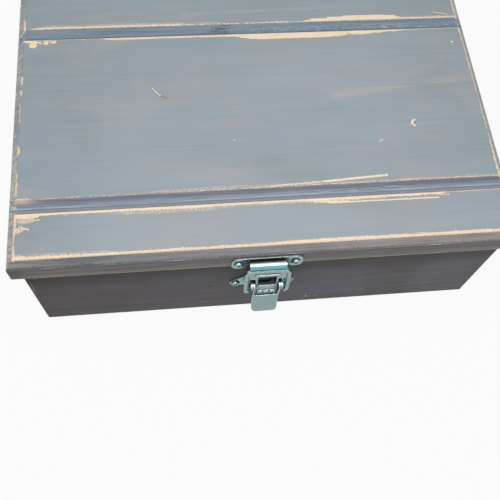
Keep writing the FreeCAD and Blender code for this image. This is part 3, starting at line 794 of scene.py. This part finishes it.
class LidPaint(Paint):
    """Blue-grey paint on a lid board, rubbed back to the wood along its arrises."""

    def __init__(self, name):
        super().__init__(name, LID_NOISES)
        self.on_top = self.ramp(self.mz, *TOP_FROM)
        self.in_bevel = self.mul(self.ramp(self.mz, *BEVEL_FROM), self.flip(self.ramp(self.mz, *BEVEL_TO)))
        self.upright = self.flip(self.ramp(self.mz, *UPRIGHT_TO))
        self.thin = []

    def top_paint(self):
        paint = self.blend(self.ramp(self.cloud, *TOP_CLOUD), PAINT_GREEN, PAINT_BLUE)
        # Painted light and shade: lighter towards the front and the middle, darker at the ends and at the
        # left
        light = self.add(self.mul(self.my, LIGHT_PER_MM), self.sway(self.drift, LIGHT_DRIFT))
        light = self.sub(light, self.mul(self.ramp(self.absolute(self.mx), *LIGHT_ENDS), LIGHT_ENDS_LOSS))
        left = self.ramp(self.mx, *LIGHT_LEFT)
        light = self.sub(light, self.mul(left, LIGHT_LEFT_LOSS))
        paint = self.tint(paint, light, *LIGHT_TINT, PAINT_LIGHT)
        paint = self.blend(self.mul(left, LEFT_SHADE), paint, PAINT_SHADE)
        return self.tints(paint, TOP_TINTS)

    def on_bevel(self, paint, limits, tone):
        """A tone laid over the paint in the bevel that begins at the limits in Y."""
        return self.blend(self.mul(self.in_bevel, self.ramp(self.my, *limits)), paint, tone)

    def streaked(self, colour, dark, pale):
        """A colour with darker and paler streaks along the board."""
        colour = self.tint(colour, self.sweep, *SWEEP_DARK, dark)
        colour = self.tint(colour, self.sweep, *SWEEP_PALE, pale)
        return self.tint(colour, self.comb, *COMB_DARK, dark)

    def widened(self, width, along, zones):
        """A width that grows in zones along a board."""
        for low, high, soft, extra in zones:
            width = self.add(width, self.mul(self.span(along, low, high, soft), extra))
        return width

    def long_edge(self, y0, side, base, swing, lip, zones, halos=(), strength=1.0):
        """Wear along an arris at y0, with the top on one side of it; in a halo it thins out into dots."""
        past = self.mul(self.sub(self.my, y0), side)
        width = self.widened(self.add(base, self.sway(self.slow, swing)), self.mx, zones)
        ragged = self.add(self.sway(self.comb, EDGE_COMB), self.sway(self.speck, EDGE_SPECK))
        over = self.add(self.sub(width, past), ragged)
        back = self.add(self.add(past, lip), self.sway(self.speck, EDGE_LIP_SPECK))
        worn = self.rubbed(self.least(over, back))
        if halos:
            reach = self.widened(0.0, self.mx, halos)
            dusty = self.rubbed(self.least(self.add(over, reach), back), HALO_SOFT)
            worn = self.most(worn, self.mul(dusty, self.ramp(self.dots, *HALO_DOTS)))
        self.bites.append(self.mul(self.on_top, self.mul(worn, strength)))

    def end_edge(self, side, base, swing, zones):
        """Wear along the arris at the left end, side -1, or the right end, side 1."""
        past = self.sub(END_ARRIS, self.mul(self.mx, side))
        width = self.widened(self.add(base, self.sway(self.slow_y, swing)), self.my, zones)
        over = self.add(self.sub(width, past), self.sway(self.cross, END_CROSS))
        back = self.add(self.add(past, END_LIP), self.sway(self.speck, END_LIP_SPECK))
        self.bites.append(self.mul(self.on_top, self.rubbed(self.least(over, back))))

    def scuff(self, start, end, radius):
        """A patch rubbed through in dots."""
        inside = self.add(self.stroke(start, end, radius), self.sway(self.speck, SCUFF_SPECK))
        dotted = self.mul(self.ramp(inside, *SCUFF_RANGE), self.ramp(self.dots, *SCUFF_DOTS))
        self.bites.append(self.mul(self.on_top, dotted))

    def worn_line(self, gap, base, slow):
        """A thin worn line on an upright face; gap is the distance to its edge in metres."""
        width = self.add(base, self.sway(slow, LINE_SLOW))
        ragged = self.add(self.sway(self.comb, LINE_COMB), self.sway(self.speck, LINE_SPECK))
        over = self.add(self.sub(width, self.mm(gap)), ragged)
        self.bites.append(self.mul(self.rubbed(over, LINE_SOFT), LINE_SHARE))

    def face_line(self, y, z, base):
        self.worn_line(self.to_line(ALONG_X, (0.0, y, z)), base, self.slow)

    def mark(self, start, end, radius, strength, rough):
        """A chip or scratch on the top."""
        inside = self.add(self.stroke(start, end, radius), self.sway(self.speck, rough * MARK_SPECK))
        self.bites.append(self.mul(self.on_top, self.mul(self.rubbed(inside, MARK_SOFT), strength)))

    def dent(self, start, end, radius, strength):
        """A small dark mark on the top."""
        inside = self.rubbed(self.stroke(start, end, radius), DENT_SOFT)
        self.dark.append(self.mul(self.on_top, self.mul(inside, strength)))

    def streak(self, start, end, radius, strength):
        """A long soft streak where the paint is thin."""
        soft = self.ramp(self.stroke(start, end, radius), -radius, radius)
        grainy = self.ramp(self.add(self.brush, self.sway(self.speck, STREAK_SPECK)), *STREAK_RANGE)
        self.thin.append(self.mul(self.mul(soft, grainy), strength))

    def wear_off(self, wear):
        """Wear from a table by kind, and the worn lines that every board has at its ends."""
        for kind, rows in wear.items():
            for row in rows:
                getattr(self, kind)(*row)
        for end_x in (-END_FACE, END_FACE):
            self.worn_line(self.to_line(ALONG_Y, (end_x, 0.0, BEVEL_FOOT)), END_LINE, self.slow_y)

    def end_bevels(self, paint):
        """End grain takes the paint in ridges and sheds it in specks; it is mitred with the long bevels."""
        past_end = self.sub(self.absolute(self.mx), END_ARRIS)
        past_long = self.most(self.sub(FRONT_ARRIS, self.my), self.sub(self.my, REAR_ARRIS), 0.0)
        at_end = self.mul(self.in_bevel, self.ramp(self.sub(past_end, past_long), *END_MITRE))
        tone = self.add(self.ridge, self.sway(self.slow_y, END_SLOW))
        tone = self.sub(tone, self.mul(self.ramp(self.mx, *END_RIGHT), END_RIGHT_LOSS))
        grain = self.tint(paint, tone, *END_PALE_TINT, END_PALE)
        grain = self.tint(grain, self.split, *END_DARK_TINT, END_DARK)
        self.bites.append(self.mul(at_end, self.mul(self.ramp(tone, *END_BITE), END_BITE_SHARE)))
        return self.blend(at_end, paint, grain), at_end

    def faces(self, paint):
        """Front, back and end faces, greyer than the top and streaked along the grain, with painted shade at
        the left end.
        """
        low = self.add(self.mz, self.sway(self.slow, FACE_SWAY))
        face = self.tint(FACE_TAUPE, low, *FACE_LOW_TINT, FACE_PALE)
        face = self.streaked(face, FACE_DARK, FACE_PALE)
        face = self.tint(face, low, *FACE_HIGH_TINT, FACE_DARK)
        # Painted shade on the faces at the left end
        corner = self.add(self.mx, self.sway(self.rose, FACE_CORNER_SWAY))
        face = self.tint(face, corner, *FACE_CORNER_TINT, GRIME_AND_SHADE)
        return self.blend(self.mul(self.upright, FACE_COVER), paint, face)

    def done(self, paint, wear_table, seams, heart):
        """Lays end grain, faces, wear and the bare underside over the paint, and closes the shader."""
        colour, at_end = self.end_bevels(paint)
        colour = self.faces(colour)
        self.wear_off(wear_table)
        if self.thin:
            colour = self.blend(self.mul(self.on_top, self.most(*self.thin)), colour, THIN_PAINT)
        wear = self.most(*self.bites)
        bare = self.blend(self.ramp(self.comb, *BARE_COMB), CREAM, CREAM_DEEP)
        rim = self.mul(self.ramp(wear, *WEAR_RIM_RISE), self.ramp(wear, *WEAR_RIM_FALL))
        colour = self.blend(wear, colour, bare)
        colour = self.blend(self.mul(rim, WEAR_RIM_SHARE), colour, STAIN)
        if self.dark:
            colour = self.blend(self.most(*self.dark), colour, FACE_DARK)
        for seam_y in seams:
            gap = self.to_line(ALONG_X, (0.0, seam_y, BEVEL_FOOT))
            colour = self.tint(colour, gap, *SEAM_ABOVE, JOINT)

        wood, grain = self.pine(ALONG_X, heart)
        wobble = self.sway(self.cloud, UNDER_WOBBLE)
        inner_x = self.ramp(self.add(self.absolute(self.mx), wobble), *UNDER_X)
        inner_y = self.ramp(self.add(self.absolute(self.my), wobble), *UNDER_Y)
        under = self.mul(self.mul(inner_x, inner_y), self.ramp(self.mz, *UNDER_Z))
        colour = self.blend(under, colour, wood)
        for seam_y in seams:
            gap = self.to_line(ALONG_X, (0.0, seam_y, LID_UNDER))
            colour = self.tint(colour, gap, *SEAM_BELOW, STAIN)

        rough = self.add(self.level(self.brush, *PAINT_ROUGH), self.mul(wear, WEAR_ROUGH))
        height = self.add(self.mul(self.brush, LID_BRUSH_RELIEF), self.mul(self.fine, SPECK_RELIEF))
        height = self.add(height, self.mul(self.band, BAND_RELIEF))
        height = self.add(height, self.mul(self.add(self.ridge, self.split), self.mul(at_end, END_RELIEF)))
        height = self.add(height, self.mul(grain, self.mul(under, GRAIN_RELIEF)))
        return self.finish(colour, rough, height, PAINT_DEPTH)


def front_board_paint():
    g = LidPaint("lid_paint_front")
    run = g.add(g.mx, g.sway(g.rose, FRONT_RUN_SWAY))
    bevel = g.blend(g.ramp(run, *FRONT_PURPLE_X), BEVEL_SLATE, BEVEL_PURPLE)
    bevel = g.blend(g.ramp(run, *FRONT_PINK_X), bevel, BEVEL_PINK)
    bevel = g.streaked(bevel, BEVEL_SLATE, PAINT_LIGHT)
    at_left = g.ramp(g.add(g.mx, g.sway(g.sweep, TAN_SWAY)), *TAN_X)
    tan = g.mul(at_left, g.ramp(g.sweep, *TAN_SWEEP))
    bevel = g.blend(g.mul(tan, TAN_SHARE), bevel, STAIN_PALE)
    chatter = g.add(g.sway(g.cross, CHATTER_CROSS), g.sway(g.sweep, CHATTER_SWEEP))
    bevel = g.tint(bevel, g.add(g.mz, chatter), *FRONT_FOOT_TINT, FACE_DARK)
    ledge = g.blend(g.ramp(g.mz, *LEDGE_Z), LEDGE, LEDGE_ROSE)
    paint = g.on_bevel(g.top_paint(), FRONT_BEVEL, bevel)
    paint = g.on_bevel(paint, FRONT_LEDGE, ledge)
    return g.done(paint, FRONT_WEAR, (GROOVE_A[1],), FRONT_HEART)


def middle_board_paint():
    g = LidPaint("lid_paint_middle")
    depth = g.add(g.mz, g.sway(g.slow, WALL_SWAY))
    wall = g.blend(g.ramp(depth, *WALL_Z), WALL_PURPLE, WALL_PALE)
    wall = g.streaked(wall, WALL_DEEP, WALL_PALE)
    foot = g.mul(g.ramp(g.mz, *WALL_FOOT_Z), g.ramp(g.sweep, *WALL_FOOT_SWEEP))
    wall = g.blend(g.mul(foot, WALL_FLECK_SHARE), wall, FLECK)
    lines = g.mul(g.ramp(g.mz, *LONG_FLECK_Z), g.ramp(g.comb, *LONG_FLECK_COMB))
    long_fleck = g.mul(g.span(g.mx, *LONG_FLECK_X), lines)
    wall = g.blend(g.mul(long_fleck, WALL_FLECK_SHARE), wall, FLECK)
    at_left = g.ramp(g.add(g.mx, g.sway(g.sweep, WEDGE_SWAY)), *WEDGE_X)
    wedge = g.mul(at_left, g.ramp(g.mz, *WEDGE_Z))
    wall = g.blend(g.mul(wedge, WEDGE_SHARE), wall, CREAM_ROSE)
    ledge = g.blend(g.ramp(g.mz, *LEDGE_Z), WALL_BLUE, LEDGE_ROSE)
    paint = g.on_bevel(g.top_paint(), MIDDLE_WALL, wall)
    paint = g.on_bevel(paint, MIDDLE_LEDGE, ledge)
    return g.done(paint, MIDDLE_WEAR, (GROOVE_A[1], GROOVE_B[1]), MIDDLE_HEART)


def rear_board_paint():
    g = LidPaint("lid_paint_rear")
    wall = g.streaked(WALL_BLUE, WALL_DEEP, PAINT_BLUE)
    fleck = g.noise(*FLECK_NOISE)
    at_right = g.ramp(g.add(g.mx, g.sway(g.drift, FLECK_SWAY)), *FLECK_X)
    low = g.mul(g.ramp(g.mz, *FLECK_Z), FLECK_SHARE)
    wall = g.blend(g.mul(g.mul(g.ramp(fleck, *FLECK_RANGE), at_right), low), wall, FLECK)
    spots = g.ramp(g.add(fleck, g.sway(g.speck, SMUDGE_SPECK)), *SMUDGE_RANGE)
    smudge = g.mul(g.span(g.mx, *SMUDGE_X), spots)
    wall = g.blend(g.mul(smudge, SMUDGE_SHARE), wall, GRIME_AND_SHADE)
    back = g.streaked(BEVEL_SLATE, WALL_DEEP, PAINT_LIGHT)
    paint = g.on_bevel(g.top_paint(), REAR_WALL, wall)
    paint = g.on_bevel(paint, REAR_BEVEL, back)
    return g.done(paint, REAR_WEAR, (GROOVE_B[1],), REAR_HEART)


class CasePaint(Paint):
    """Dark paint on a board of the case, with its grain along one axis."""

    def __init__(self, name, axis):
        super().__init__(name, CASE_NOISES)
        self.axis = axis
        self.brush = self.noise_along(axis, *CASE_BRUSH)
        self.band = self.noise_along(axis, *CASE_BAND)
        self.ragged = self.sway(self.speck, CASE_RAGGED)
        self.front = self.ramp(self.my, *CASE_FRONT_Y)

    def edge(self, axis, point, base):
        """Wear along an edge of the case through a point in mm."""
        width = self.add(base, self.sway(self.slow, CASE_EDGE_SWAY))
        over = self.add(self.sub(width, self.mm(self.to_line(axis, point))), self.ragged)
        self.bites.append(self.rubbed(over, CASE_EDGE_SOFT))

    def spot(self, start, end, radius, strength):
        """The strength inside a small mark on the front, and 0 around it."""
        ragged = self.mul(self.ragged, CASE_FLECK_RAGGED)
        inside = self.add(self.stroke(start, end, radius, ALONG_Y), ragged)
        return self.mul(self.front, self.mul(self.rubbed(inside), strength))

    def worn_paint(self):
        """The painted colour and where it is worn off."""
        paint = self.blend(self.ramp(self.cloud, *CASE_CLOUD), CASE_GREY, CASE_COOL)
        paint = self.tints(paint, CASE_TINTS)
        left = self.add(self.mx, self.sway(self.warm, CASE_LEFT_SWAY))
        paint = self.tint(paint, left, *CASE_LEFT_TINT, CASE_BROWN)
        for edge_x in CASE_ENDS:
            for edge_y in CASE_SIDES:
                self.edge(ALONG_Z, (edge_x, edge_y, 0.0), CASE_CORNER_WIDTH)
            self.edge(ALONG_Y, (edge_x, 0.0, 0.0), CASE_FOOT_WIDTH)
        for edge_y in CASE_SIDES:
            self.edge(ALONG_X, (0.0, edge_y, 0.0), CASE_FOOT_WIDTH)
        self.bites.extend(self.spot(*chip) for chip in CASE_CHIPS)
        self.dark.extend(self.spot(*spot) for spot in CASE_SPOTS)
        wear = self.most(*self.bites)
        colour = self.blend(wear, paint, CREAM_DEEP)
        return self.blend(self.most(*self.dark), colour, GRIME_AND_SHADE), wear

    def bare_wood(self):
        """1 on the inside, the underside and patches of the rim, which have no paint."""
        inside = self.mul(
            self.ramp(self.absolute(self.mx), *CASE_INSIDE_X),
            self.ramp(self.absolute(self.my), *CASE_INSIDE_Y),
        )
        inside = self.mul(inside, self.ramp(self.mz, *CASE_INSIDE_Z))
        patches = self.add(self.slow, self.sway(self.speck, CASE_RIM_SPECK))
        rim = self.mul(self.ramp(self.mz, *CASE_RIM_Z), self.ramp(patches, *CASE_RIM_RANGE))
        return self.most(inside, rim, self.ramp(self.mz, *CASE_UNDER_Z))

    def dirt_and_shade(self, bare):
        """Dirt and painted shade in gaps, painted shade in the pit behind the latch, a painted shadow under
        the lid's overhang and painted shade at the front's left end.
        """
        # Dirt and painted shade in gaps
        gaps = self.mul(self.ramp(self.shelter(CASE_SHELTER), *CASE_DIRT_AND_SHADE), CASE_DIRT_AND_SHADE_SHARE)
        # Painted shade in the pit behind the latch, a painted shadow under the overhang and painted shade at
        # the front's left end
        pit = self.mul(self.mul(self.front, self.in_pit()), CASE_PIT_SHARE)
        overhang_shadow = self.mul(self.ramp(self.add(self.mz, self.sway(self.slow, OVERHANG_SHADOW_SWAY)), *OVERHANG_SHADOW_Z), OVERHANG_SHADOW_SHARE)
        left_end_shade = self.mul(self.mul(self.front, self.ramp(self.mx, *LEFT_END_SHADE_X)), LEFT_END_SHADE_SHARE)
        return self.most(gaps, pit, self.mul(self.add(overhang_shadow, left_end_shade), self.flip(bare)))

    def done(self):
        colour, wear = self.worn_paint()
        wood, grain = self.pine(self.axis, CASE_HEART)
        bare = self.bare_wood()
        colour = self.blend(bare, colour, wood)
        colour = self.blend(self.dirt_and_shade(bare), colour, GRIME_AND_SHADE)
        rough = self.level(self.brush, *PAINT_ROUGH)
        height = self.add(self.mul(self.brush, CASE_BRUSH_RELIEF), self.mul(self.speck, SPECK_RELIEF))
        height = self.add(height, self.mul(self.band, BAND_RELIEF))
        height = self.add(height, self.mul(self.flip(self.most(wear, bare)), CASE_PAINT_RELIEF))
        height = self.add(height, self.mul(grain, self.mul(bare, GRAIN_RELIEF)))
        return self.finish(colour, rough, height, PAINT_DEPTH, PAINT_SPECULAR)


def bare_pine():
    g = Graph("bare_pine")
    colour, height = g.pine(ALONG_Y, BATTEN_HEART)
    return g.finish(colour, g.level(height, *PINE_ROUGH), height, PINE_DEPTH)


def zinc(name, dull, reach, onset, pit=False):
    """Bright zinc plate; dirt and painted shade gather in gaps narrower than the reach in mm, and painted
    shade in the latch's pit; faces that look up get a painted highlight, faces that look down painted shade,
    and the hook's roll a painted cyan reflection.
    """
    g = Graph(name)
    cloud = g.noise(*ZINC_CLOUD)
    fine = g.noise(*ZINC_FINE)
    drawn = g.noise(*ZINC_DRAWN)
    stain = g.noise(*ZINC_STAIN)
    colour = g.tint(ZINC, cloud, *ZINC_TEAL_TINT, ZINC_TEAL)
    colour = g.tint(colour, stain, *ZINC_WARM_TINT, ZINC_WARM)
    cover = g.add(g.shelter(reach * MM), g.sway(stain, ZINC_COVER_STAIN))
    colour = g.tint(colour, cover, *ZINC_CYAN_TINT, ZINC_CYAN)
    # Painted highlight on faces that look up and painted shade on faces that look down
    up = g.add(g.parts(g.normal)[ALONG_Z], g.sway(stain, ZINC_UP_STAIN))
    colour = g.tint(colour, up, *ZINC_PAINTED_HIGHLIGHT_TINT, ZINC_PAINTED_HIGHLIGHT)
    colour = g.tint(colour, up, *ZINC_PAINTED_SHADE_TINT, ZINC_PAINTED_SHADE)
    # A painted cyan reflection on the lower half of the hook's roll
    hook_reflection = g.mul(g.span(g.mz, *HOOK_PAINTED_REFLECTION_Z), g.ramp(g.my, *HOOK_PAINTED_REFLECTION_Y))
    colour = g.blend(g.mul(hook_reflection, HOOK_PAINTED_REFLECTION_SHARE), colour, ZINC_CYAN)
    # Dirt and painted shade in gaps, and painted shade in the pit behind the latch
    dirt_and_shade = g.mul(g.ramp(cover, onset, onset - ZINC_DIRT_AND_SHADE_RUN), ZINC_DIRT_AND_SHADE_SHARE)
    if pit:
        dirt_and_shade = g.most(dirt_and_shade, g.mul(g.in_pit(), ZINC_PIT_SHARE))
    colour = g.blend(dirt_and_shade, colour, GRIME_AND_SHADE)
    rough = g.level(fine, *(limit + dull for limit in ZINC_ROUGH))
    rough = g.add(rough, g.mul(dirt_and_shade, ZINC_DIRT_AND_SHADE_ROUGH))
    height = g.add(g.mul(drawn, ZINC_RELIEF), g.mul(fine, ZINC_RELIEF))
    return g.finish(colour, rough, height, ZINC_DEPTH, ZINC_SPECULAR, g.flip(dirt_and_shade), ZINC_SOFT_EDGE)


def nail_paint():
    g = Graph("nail_paint")
    cloud = g.noise(*NAIL_NOISE)
    colour = g.blend(g.ramp(cloud, *NAIL_RANGE), CASE_BROWN, CASE_GREY)
    colour = g.tint(colour, cloud, *NAIL_STAIN_TINT, STAIN)
    rough = g.level(cloud, *NAIL_ROUGH)
    return g.finish(colour, rough, cloud, NAIL_DEPTH, PAINT_SPECULAR)


def dress(material, *names):
    for name in names:
        slots = nodes[name].data.materials
        if len(slots) == 0:
            slots.append(material)
        for i in range(len(slots)):
            slots[i] = material


BRIGHT = zinc("zinc_bright", dull=0.0, reach=9.0, onset=0.95)

dress(front_board_paint(), "lid_board_front")
dress(middle_board_paint(), "lid_board_middle")
dress(rear_board_paint(), "lid_board_rear")
dress(CasePaint("case_paint_long", ALONG_X).done(), "front_panel", "back_panel", "bottom_board")
dress(CasePaint("case_paint_end", ALONG_Y).done(), "left_end", "right_end")
dress(bare_pine(), "lid_batten_left", "lid_batten_right")
dress(nail_paint(), "case_nails")
dress(
    BRIGHT, "strike_plate", "lever_rivets", "draw_plate", "draw_pin",
    "strike_screws", "latch_base_screws",
)
dress(zinc("zinc_deep", dull=0.04, reach=9.0, onset=0.95, pit=True), "latch_base")
dress(zinc("zinc_pad", dull=0.06, reach=6.0, onset=0.7), "latch_lever")
dress(
    zinc("zinc_dull", dull=0.08, reach=5.0, onset=0.85), "batten_screws", "bottom_screws",
    "hinge_case_leaf_left", "hinge_case_leaf_right", "hinge_lid_leaf_left", "hinge_lid_leaf_right",
    "hinge_pin_left", "hinge_pin_right", "hinge_case_screws", "hinge_lid_screws",
)


def plate_ridge(name, shift, heights, length, rise):
    """A half-round ridge with round ends on the draw plate's front. Sizes in mm."""
    plate = nodes["draw_plate"].data
    skin = BVHTree.FromPolygons([v.co for v in plate.vertices], [p.vertices for p in plate.polygons])
    low_corner, high_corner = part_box("draw_plate")
    middle = (low_corner[0] + high_corner[0]) / 2 + shift * MM
    hits = []
    for height in heights:
        start = Vector((middle, low_corner[1] - RAY_START * MM, height * MM))
        hits.append(skin.ray_cast(start, Vector((0.0, 1.0, 0.0)))[0])
    foot = (hits[0] + hits[1]) / 2
    upward = (hits[1] - hits[0]).normalized()
    outward = upward.cross(Vector((1.0, 0.0, 0.0))) * -1.0
    half_height = (hits[1] - hits[0]).length / 2
    round_end = min(half_height, length * MM * RIDGE_END_SHARE)
    half_length = length * MM / 2
    straight = half_length - round_end
    form = bmesh.new()
    rows = []
    for i in range(RIDGE_STEPS + 1):
        along = half_length * math.sin(math.pi * (i / RIDGE_STEPS - 0.5))
        past = max(abs(along) - straight, 0.0) / round_end
        swell = math.sqrt(max(1.0 - past ** 2, 0.0))
        row = []
        for j in range(RIDGE_SIDES + 1):
            turn = math.pi * (j / RIDGE_SIDES - 0.5)
            proud = (rise * swell * math.cos(turn) - RIDGE_SINK) * MM
            spot = foot + upward * half_height * swell * math.sin(turn) + outward * proud
            row.append(form.verts.new(spot + Vector((along, 0.0, 0.0))))
        rows.append(row)
    for near, far in zip(rows, rows[1:]):
        for j in range(RIDGE_SIDES):
            form.faces.new((near[j], near[j + 1], far[j + 1], far[j])).smooth = True
        form.faces.new((near[RIDGE_SIDES], near[0], far[0], far[RIDGE_SIDES]))
    bmesh.ops.remove_doubles(form, verts=form.verts, dist=MERGE_GAP * MM)
    bmesh.ops.recalc_face_normals(form, faces=form.faces)
    mesh = bpy.data.meshes.new(name)
    form.to_mesh(mesh)
    form.free()
    mesh.materials.append(BRIGHT)
    ridge = bpy.data.objects.new(name, mesh)
    scene.collection.objects.link(ridge)
    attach(ridge, "draw_plate")


plate_ridge("plate_bead", 0.0, BEAD_HEIGHTS, BEAD_LENGTH, BEAD_RISE)
for side, name in ((-1, "foot_knuckle_left"), (0, "foot_knuckle_middle"), (1, "foot_knuckle_right")):
    plate_ridge(name, side * KNUCKLE_PITCH, KNUCKLE_HEIGHTS, KNUCKLE_LENGTH, KNUCKLE_RISE)


def seen(tree):
    """1 for rays that show the background: from the camera, off metal and through glass."""
    path = tree.nodes.new("ShaderNodeLightPath")
    out = path.outputs["Is Camera Ray"]
    for name in ("Is Glossy Ray", "Is Transmission Ray"):
        node = tree.nodes.new("ShaderNodeMath")
        node.operation = "MAXIMUM"
        tree.links.new(out, node.inputs[0])
        tree.links.new(path.outputs[name], node.inputs[1])
        out = node.outputs[0]
    return out


def plain(tree, kind, colour, strength=None):
    """A shader of one colour."""
    node = tree.nodes.new("ShaderNode" + kind)
    node.inputs["Color"].default_value = colour
    if strength is not None:
        node.inputs["Strength"].default_value = strength
    return node.outputs[0]


def lead_out(tree, share, first, second, kind):
    """Mixes two shaders by a share and leads them to an output of a kind."""
    mix = tree.nodes.new("ShaderNodeMixShader")
    for socket, source in zip(mix.inputs, (share, first, second)):
        tree.links.new(source, socket)
    out = tree.nodes.new("ShaderNodeOutput" + kind)
    tree.links.new(mix.outputs[0], out.inputs["Surface"])


# Floor
floor_mesh = bpy.data.meshes.new("floor")
floor_mesh.from_pydata(
    [(-FLOOR_HALF, -FLOOR_HALF, 0.0), (FLOOR_HALF, -FLOOR_HALF, 0.0),
     (FLOOR_HALF, FLOOR_HALF, 0.0), (-FLOOR_HALF, FLOOR_HALF, 0.0)],
    [], [(0, 1, 2, 3)],
)
floor = bpy.data.objects.new("floor", floor_mesh)
scene.collection.objects.link(floor)
floor_look = bpy.data.materials.new("floor_look")
floor_look.use_nodes = True
tree = floor_look.node_tree
tree.nodes.clear()
glowing = tree.nodes.new("ShaderNodeMath")
glowing.operation = "MULTIPLY"
tree.links.new(seen(tree), glowing.inputs[0])
glowing.inputs[1].default_value = 1.0 - FLOOR_SHADE
matt = plain(tree, "BsdfDiffuse", FLOOR_GREY)
glow = plain(tree, "Emission", WHITE, 1.0)
lead_out(tree, glowing.outputs[0], matt, glow, "Material")
floor_mesh.materials.append(floor_look)

# World
world = bpy.data.worlds.new("studio")
scene.world = world
world.use_nodes = True
tree = world.node_tree
tree.nodes.clear()
dim = plain(tree, "Background", WHITE, AMBIENT)
bright = plain(tree, "Background", WHITE, 1.0)
lead_out(tree, seen(tree), dim, bright, "World")

# Lamp
lamp = bpy.data.lights.new("key", "AREA")
lamp.shape = "RECTANGLE"
lamp.size, lamp.size_y = LAMP_SIZE
lamp.energy = LAMP_POWER
key = bpy.data.objects.new("key", lamp)
key.location = LAMP_PLACE
key.rotation_euler = (Vector(LAMP_TARGET) - Vector(LAMP_PLACE)).to_track_quat("-Z", "Y").to_euler()
scene.collection.objects.link(key)

# Camera
camera = bpy.data.cameras.new("camera")
camera.lens = LENS
camera.sensor_width = SENSOR
eye = bpy.data.objects.new("camera", camera)
eye.location = EYE_PLACE
eye.rotation_euler = tuple(math.radians(a) for a in EYE_TURN)
scene.collection.objects.link(eye)
scene.camera = eye
scene.view_settings.view_transform = "Standard"
